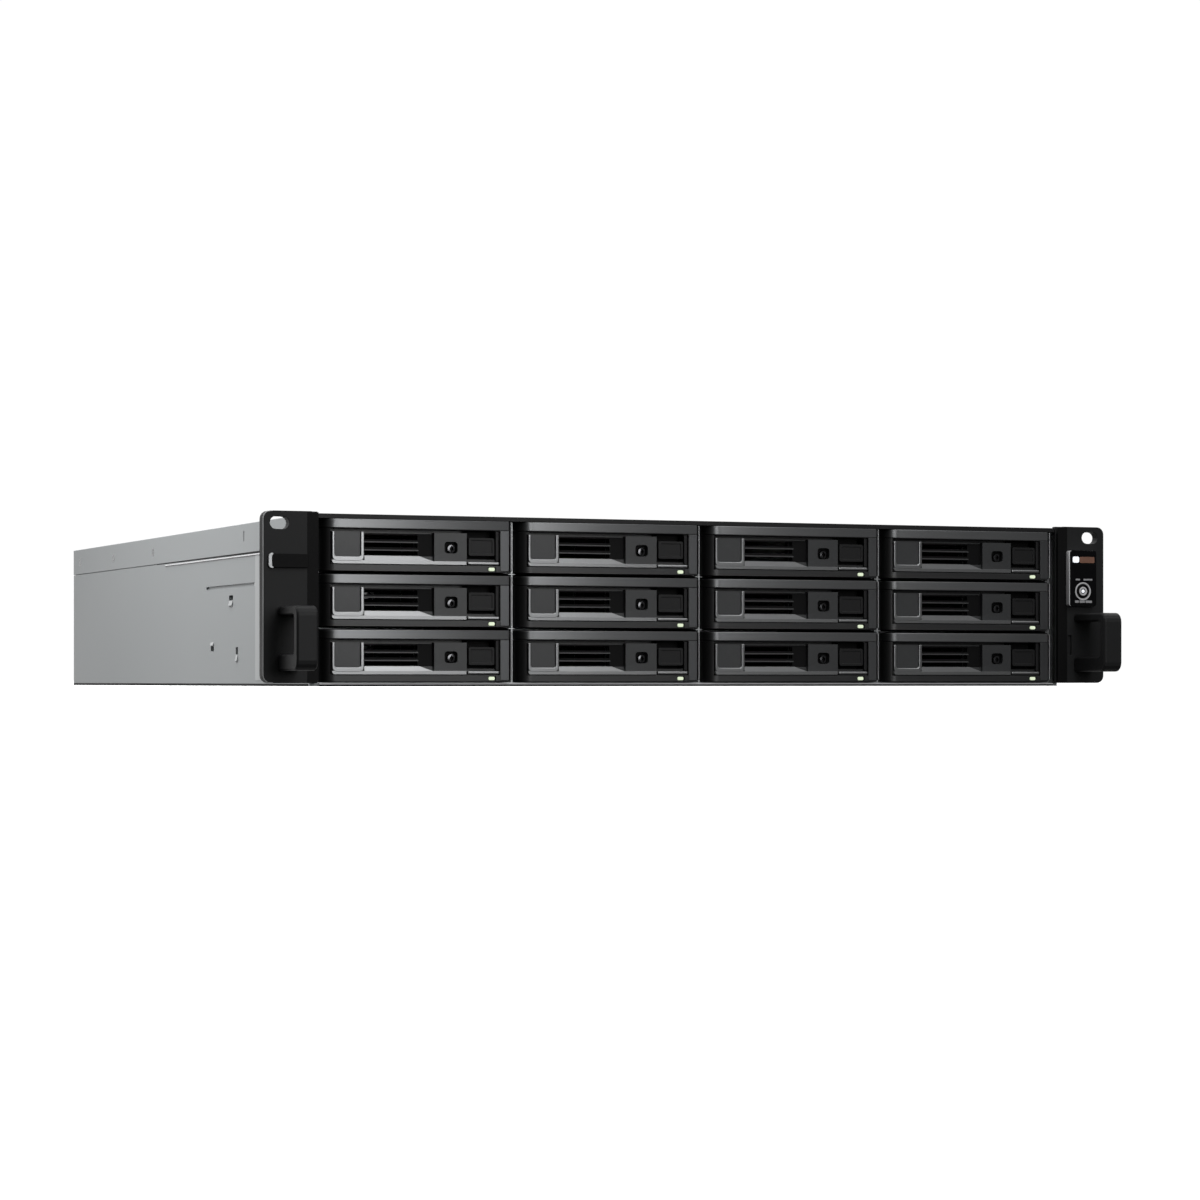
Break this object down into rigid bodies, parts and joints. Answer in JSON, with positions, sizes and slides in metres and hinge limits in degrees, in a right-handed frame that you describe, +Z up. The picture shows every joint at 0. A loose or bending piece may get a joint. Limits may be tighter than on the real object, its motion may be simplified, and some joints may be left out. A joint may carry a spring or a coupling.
{
  "type": "rack-mount network attached storage",
  "caption": "Rack-mount network storage enclosure: grid of hot-swap drive trays with swing levers, rack ears with pull handles, sliding cover, fans, main board and plug-in power supplies.",
  "frame": {"origin": "on the floor under the middle of the whole object, pull handles included", "axes": "+Z up; the front with the drive trays faces -Y; +X is to the right seen from the front"},
  "size_m": [0.4826, 0.586, 0.0882],
  "materials": {
    "chassis_base": "satin zinc-grey sheet",
    "drive_cage": "bare galvanised sheet",
    "left_ear": "charcoal powder coat",
    "right_ear": "charcoal powder coat",
    "left_handle": "charcoal powder coat",
    "right_handle": "charcoal powder coat",
    "control_panel": "gloss black",
    "backplane": "green circuit board",
    "fan_frame_1": "black",
    "fan_frame_2": "black",
    "fan_frame_3": "black",
    "main_board": "green circuit board",
    "heat_sink": "plain extruded",
    "rear_ports": "tinned shell",
    "slot_bracket": "plated",
    "top_cover": "satin zinc-grey sheet",
    "power_button": "satin grey",
    "tray_13": "charcoal satin",
    "lever_13": "charcoal satin",
    "release_13": "near-black matte",
    "tray_12": "charcoal satin",
    "lever_12": "charcoal satin",
    "release_12": "near-black matte",
    "tray_11": "charcoal satin",
    "lever_11": "charcoal satin",
    "release_11": "near-black matte",
    "tray_23": "charcoal satin",
    "lever_23": "charcoal satin",
    "release_23": "near-black matte",
    "tray_22": "charcoal satin",
    "lever_22": "charcoal satin",
    "release_22": "near-black matte",
    "tray_21": "charcoal satin",
    "lever_21": "charcoal satin",
    "release_21": "near-black matte",
    "tray_33": "charcoal satin",
    "lever_33": "charcoal satin",
    "release_33": "near-black matte",
    "tray_32": "charcoal satin",
    "lever_32": "charcoal satin",
    "release_32": "near-black matte",
    "tray_31": "charcoal satin",
    "lever_31": "charcoal satin",
    "release_31": "near-black matte",
    "tray_43": "charcoal satin",
    "lever_43": "charcoal satin",
    "release_43": "near-black matte",
    "tray_42": "charcoal satin",
    "lever_42": "charcoal satin",
    "release_42": "near-black matte",
    "tray_41": "charcoal satin",
    "lever_41": "charcoal satin",
    "release_41": "near-black matte",
    "fan_rotor_1": "black",
    "fan_rotor_2": "black",
    "fan_rotor_3": "black",
    "power_supply_1": "bare galvanised sheet",
    "supply_latch_1": "dark red",
    "power_supply_2": "bare galvanised sheet",
    "supply_latch_2": "dark red"
  },
  "bodies": {
    "chassis": {"chassis_base": "chassis_base", "drive_cage": "drive_cage", "left_ear": "left_ear", "right_ear": "right_ear", "left_handle": "left_handle", "right_handle": "right_handle", "control_panel": "control_panel", "backplane": "backplane", "fan_frame_1": "fan_frame_1", "fan_frame_2": "fan_frame_2", "fan_frame_3": "fan_frame_3", "main_board": "main_board", "heat_sink": "heat_sink", "rear_ports": "rear_ports", "slot_bracket": "slot_bracket"},
    "cover": {"top_cover": "top_cover"},
    "power_button": {"power_button": "power_button"},
    "tray_13": {"tray_13": "tray_13"},
    "lever_13": {"lever_13": "lever_13"},
    "release_13": {"release_13": "release_13"},
    "tray_12": {"tray_12": "tray_12"},
    "lever_12": {"lever_12": "lever_12"},
    "release_12": {"release_12": "release_12"},
    "tray_11": {"tray_11": "tray_11"},
    "lever_11": {"lever_11": "lever_11"},
    "release_11": {"release_11": "release_11"},
    "tray_23": {"tray_23": "tray_23"},
    "lever_23": {"lever_23": "lever_23"},
    "release_23": {"release_23": "release_23"},
    "tray_22": {"tray_22": "tray_22"},
    "lever_22": {"lever_22": "lever_22"},
    "release_22": {"release_22": "release_22"},
    "tray_21": {"tray_21": "tray_21"},
    "lever_21": {"lever_21": "lever_21"},
    "release_21": {"release_21": "release_21"},
    "tray_33": {"tray_33": "tray_33"},
    "lever_33": {"lever_33": "lever_33"},
    "release_33": {"release_33": "release_33"},
    "tray_32": {"tray_32": "tray_32"},
    "lever_32": {"lever_32": "lever_32"},
    "release_32": {"release_32": "release_32"},
    "tray_31": {"tray_31": "tray_31"},
    "lever_31": {"lever_31": "lever_31"},
    "release_31": {"release_31": "release_31"},
    "tray_43": {"tray_43": "tray_43"},
    "lever_43": {"lever_43": "lever_43"},
    "release_43": {"release_43": "release_43"},
    "tray_42": {"tray_42": "tray_42"},
    "lever_42": {"lever_42": "lever_42"},
    "release_42": {"release_42": "release_42"},
    "tray_41": {"tray_41": "tray_41"},
    "lever_41": {"lever_41": "lever_41"},
    "release_41": {"release_41": "release_41"},
    "fan_rotor_1": {"fan_rotor_1": "fan_rotor_1"},
    "fan_rotor_2": {"fan_rotor_2": "fan_rotor_2"},
    "fan_rotor_3": {"fan_rotor_3": "fan_rotor_3"},
    "power_supply_1": {"power_supply_1": "power_supply_1"},
    "supply_latch_1": {"supply_latch_1": "supply_latch_1"},
    "power_supply_2": {"power_supply_2": "power_supply_2"},
    "supply_latch_2": {"supply_latch_2": "supply_latch_2"}
  },
  "joints": [
    {"name": "cover_slide", "type": "slide", "parent": "chassis", "child": "cover", "axis": [0, 1, 0], "range_m": [0, 0.3]},
    {"name": "power_press", "type": "slide", "parent": "chassis", "child": "power_button", "axis": [0, 1, 0], "range_m": [0, 0.0012], "stiffness_N_per_m": 400, "springref_m": -0.0005},
    {"name": "tray_slide_13", "type": "slide", "parent": "chassis", "child": "tray_13", "axis": [0, -1, 0], "range_m": [0, 0.18]},
    {"name": "lever_swing_13", "type": "hinge", "parent": "tray_13", "child": "lever_13", "pos_m": [-0.2024, -0.2546, 0.01425], "axis": [0, 0, -1], "range_deg": [0, 75]},
    {"name": "release_press_13", "type": "slide", "parent": "tray_13", "child": "release_13", "axis": [0, 1, 0], "range_m": [0, 0.002], "stiffness_N_per_m": 300, "springref_m": -0.0005},
    {"name": "tray_slide_12", "type": "slide", "parent": "chassis", "child": "tray_12", "axis": [0, -1, 0], "range_m": [0, 0.18]},
    {"name": "lever_swing_12", "type": "hinge", "parent": "tray_12", "child": "lever_12", "pos_m": [-0.2024, -0.2546, 0.04235], "axis": [0, 0, -1], "range_deg": [0, 75]},
    {"name": "release_press_12", "type": "slide", "parent": "tray_12", "child": "release_12", "axis": [0, 1, 0], "range_m": [0, 0.002], "stiffness_N_per_m": 300, "springref_m": -0.0005},
    {"name": "tray_slide_11", "type": "slide", "parent": "chassis", "child": "tray_11", "axis": [0, -1, 0], "range_m": [0, 0.18]},
    {"name": "lever_swing_11", "type": "hinge", "parent": "tray_11", "child": "lever_11", "pos_m": [-0.2024, -0.2546, 0.07045], "axis": [0, 0, -1], "range_deg": [0, 75]},
    {"name": "release_press_11", "type": "slide", "parent": "tray_11", "child": "release_11", "axis": [0, 1, 0], "range_m": [0, 0.002], "stiffness_N_per_m": 300, "springref_m": -0.0005},
    {"name": "tray_slide_23", "type": "slide", "parent": "chassis", "child": "tray_23", "axis": [0, -1, 0], "range_m": [0, 0.18]},
    {"name": "lever_swing_23", "type": "hinge", "parent": "tray_23", "child": "lever_23", "pos_m": [-0.0968, -0.2546, 0.01425], "axis": [0, 0, -1], "range_deg": [0, 75]},
    {"name": "release_press_23", "type": "slide", "parent": "tray_23", "child": "release_23", "axis": [0, 1, 0], "range_m": [0, 0.002], "stiffness_N_per_m": 300, "springref_m": -0.0005},
    {"name": "tray_slide_22", "type": "slide", "parent": "chassis", "child": "tray_22", "axis": [0, -1, 0], "range_m": [0, 0.18]},
    {"name": "lever_swing_22", "type": "hinge", "parent": "tray_22", "child": "lever_22", "pos_m": [-0.0968, -0.2546, 0.04235], "axis": [0, 0, -1], "range_deg": [0, 75]},
    {"name": "release_press_22", "type": "slide", "parent": "tray_22", "child": "release_22", "axis": [0, 1, 0], "range_m": [0, 0.002], "stiffness_N_per_m": 300, "springref_m": -0.0005},
    {"name": "tray_slide_21", "type": "slide", "parent": "chassis", "child": "tray_21", "axis": [0, -1, 0], "range_m": [0, 0.18]},
    {"name": "lever_swing_21", "type": "hinge", "parent": "tray_21", "child": "lever_21", "pos_m": [-0.0968, -0.2546, 0.07045], "axis": [0, 0, -1], "range_deg": [0, 75]},
    {"name": "release_press_21", "type": "slide", "parent": "tray_21", "child": "release_21", "axis": [0, 1, 0], "range_m": [0, 0.002], "stiffness_N_per_m": 300, "springref_m": -0.0005},
    {"name": "tray_slide_33", "type": "slide", "parent": "chassis", "child": "tray_33", "axis": [0, -1, 0], "range_m": [0, 0.18]},
    {"name": "lever_swing_33", "type": "hinge", "parent": "tray_33", "child": "lever_33", "pos_m": [0.0088, -0.2546, 0.01425], "axis": [0, 0, -1], "range_deg": [0, 75]},
    {"name": "release_press_33", "type": "slide", "parent": "tray_33", "child": "release_33", "axis": [0, 1, 0], "range_m": [0, 0.002], "stiffness_N_per_m": 300, "springref_m": -0.0005},
    {"name": "tray_slide_32", "type": "slide", "parent": "chassis", "child": "tray_32", "axis": [0, -1, 0], "range_m": [0, 0.18]},
    {"name": "lever_swing_32", "type": "hinge", "parent": "tray_32", "child": "lever_32", "pos_m": [0.0088, -0.2546, 0.04235], "axis": [0, 0, -1], "range_deg": [0, 75]},
    {"name": "release_press_32", "type": "slide", "parent": "tray_32", "child": "release_32", "axis": [0, 1, 0], "range_m": [0, 0.002], "stiffness_N_per_m": 300, "springref_m": -0.0005},
    {"name": "tray_slide_31", "type": "slide", "parent": "chassis", "child": "tray_31", "axis": [0, -1, 0], "range_m": [0, 0.18]},
    {"name": "lever_swing_31", "type": "hinge", "parent": "tray_31", "child": "lever_31", "pos_m": [0.0088, -0.2546, 0.07045], "axis": [0, 0, -1], "range_deg": [0, 75]},
    {"name": "release_press_31", "type": "slide", "parent": "tray_31", "child": "release_31", "axis": [0, 1, 0], "range_m": [0, 0.002], "stiffness_N_per_m": 300, "springref_m": -0.0005},
    {"name": "tray_slide_43", "type": "slide", "parent": "chassis", "child": "tray_43", "axis": [0, -1, 0], "range_m": [0, 0.18]},
    {"name": "lever_swing_43", "type": "hinge", "parent": "tray_43", "child": "lever_43", "pos_m": [0.1144, -0.2546, 0.01425], "axis": [0, 0, -1], "range_deg": [0, 75]},
    {"name": "release_press_43", "type": "slide", "parent": "tray_43", "child": "release_43", "axis": [0, 1, 0], "range_m": [0, 0.002], "stiffness_N_per_m": 300, "springref_m": -0.0005},
    {"name": "tray_slide_42", "type": "slide", "parent": "chassis", "child": "tray_42", "axis": [0, -1, 0], "range_m": [0, 0.18]},
    {"name": "lever_swing_42", "type": "hinge", "parent": "tray_42", "child": "lever_42", "pos_m": [0.1144, -0.2546, 0.04235], "axis": [0, 0, -1], "range_deg": [0, 75]},
    {"name": "release_press_42", "type": "slide", "parent": "tray_42", "child": "release_42", "axis": [0, 1, 0], "range_m": [0, 0.002], "stiffness_N_per_m": 300, "springref_m": -0.0005},
    {"name": "tray_slide_41", "type": "slide", "parent": "chassis", "child": "tray_41", "axis": [0, -1, 0], "range_m": [0, 0.18]},
    {"name": "lever_swing_41", "type": "hinge", "parent": "tray_41", "child": "lever_41", "pos_m": [0.1144, -0.2546, 0.07045], "axis": [0, 0, -1], "range_deg": [0, 75]},
    {"name": "release_press_41", "type": "slide", "parent": "tray_41", "child": "release_41", "axis": [0, 1, 0], "range_m": [0, 0.002], "stiffness_N_per_m": 300, "springref_m": -0.0005},
    {"name": "fan_spin_1", "type": "hinge", "parent": "chassis", "child": "fan_rotor_1", "pos_m": [-0.142, -0.035, 0.0434], "axis": [0, 1, 0], "continuous": true},
    {"name": "fan_spin_2", "type": "hinge", "parent": "chassis", "child": "fan_rotor_2", "pos_m": [0, -0.035, 0.0434], "axis": [0, 1, 0], "continuous": true},
    {"name": "fan_spin_3", "type": "hinge", "parent": "chassis", "child": "fan_rotor_3", "pos_m": [0.142, -0.035, 0.0434], "axis": [0, 1, 0], "continuous": true},
    {"name": "supply_slide_1", "type": "slide", "parent": "chassis", "child": "power_supply_1", "axis": [0, 1, 0], "range_m": [0, 0.19]},
    {"name": "latch_press_1", "type": "slide", "parent": "power_supply_1", "child": "supply_latch_1", "axis": [-1, 0, 0], "range_m": [0, 0.0025], "stiffness_N_per_m": 600, "springref_m": -0.0005},
    {"name": "supply_slide_2", "type": "slide", "parent": "chassis", "child": "power_supply_2", "axis": [0, 1, 0], "range_m": [0, 0.19]},
    {"name": "latch_press_2", "type": "slide", "parent": "power_supply_2", "child": "supply_latch_2", "axis": [-1, 0, 0], "range_m": [0, 0.0025], "stiffness_N_per_m": 600, "springref_m": -0.0005}
  ]
}
